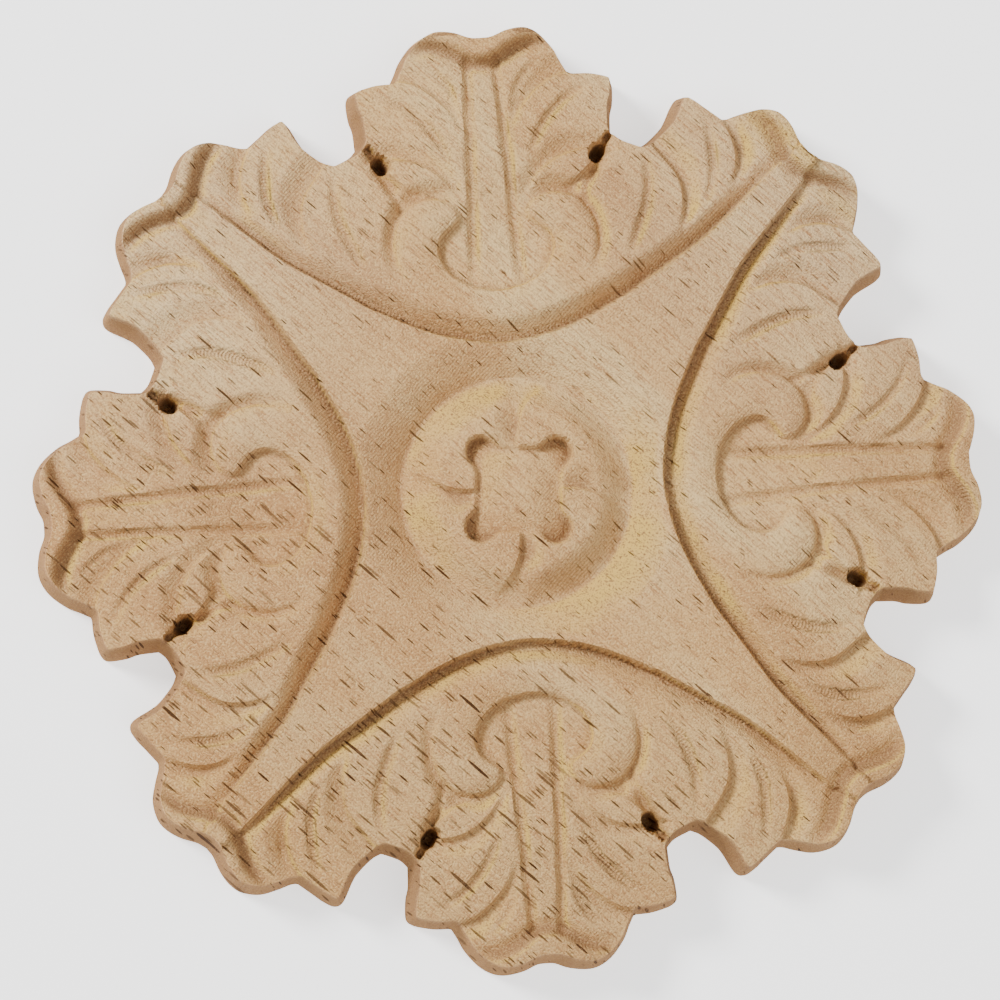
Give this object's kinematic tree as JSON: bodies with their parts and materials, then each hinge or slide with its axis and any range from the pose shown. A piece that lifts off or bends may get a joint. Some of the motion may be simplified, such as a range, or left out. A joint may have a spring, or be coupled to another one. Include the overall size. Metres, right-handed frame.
{
  "type": "carved wood applique",
  "caption": "Round flat-backed wood rosette with carved acanthus leaves around a four-armed field and a domed button, glued or pinned to furniture, doors or walls as an ornament.",
  "frame": {"origin": "centre of the flat back, where the rosette is fixed", "axes": "+Z out of the carved face, +Y towards one of the four leaves that carry a scrolled collar"},
  "size_m": [0.15, 0.15, 0.0137],
  "materials": {
    "rubberwood": "bare machine-carved rubberwood, pinkish tan with dark pores, unsanded, no coating"
  },
  "bodies": {
    "root": {"rosette": "rubberwood"}
  },
  "joints": []
}
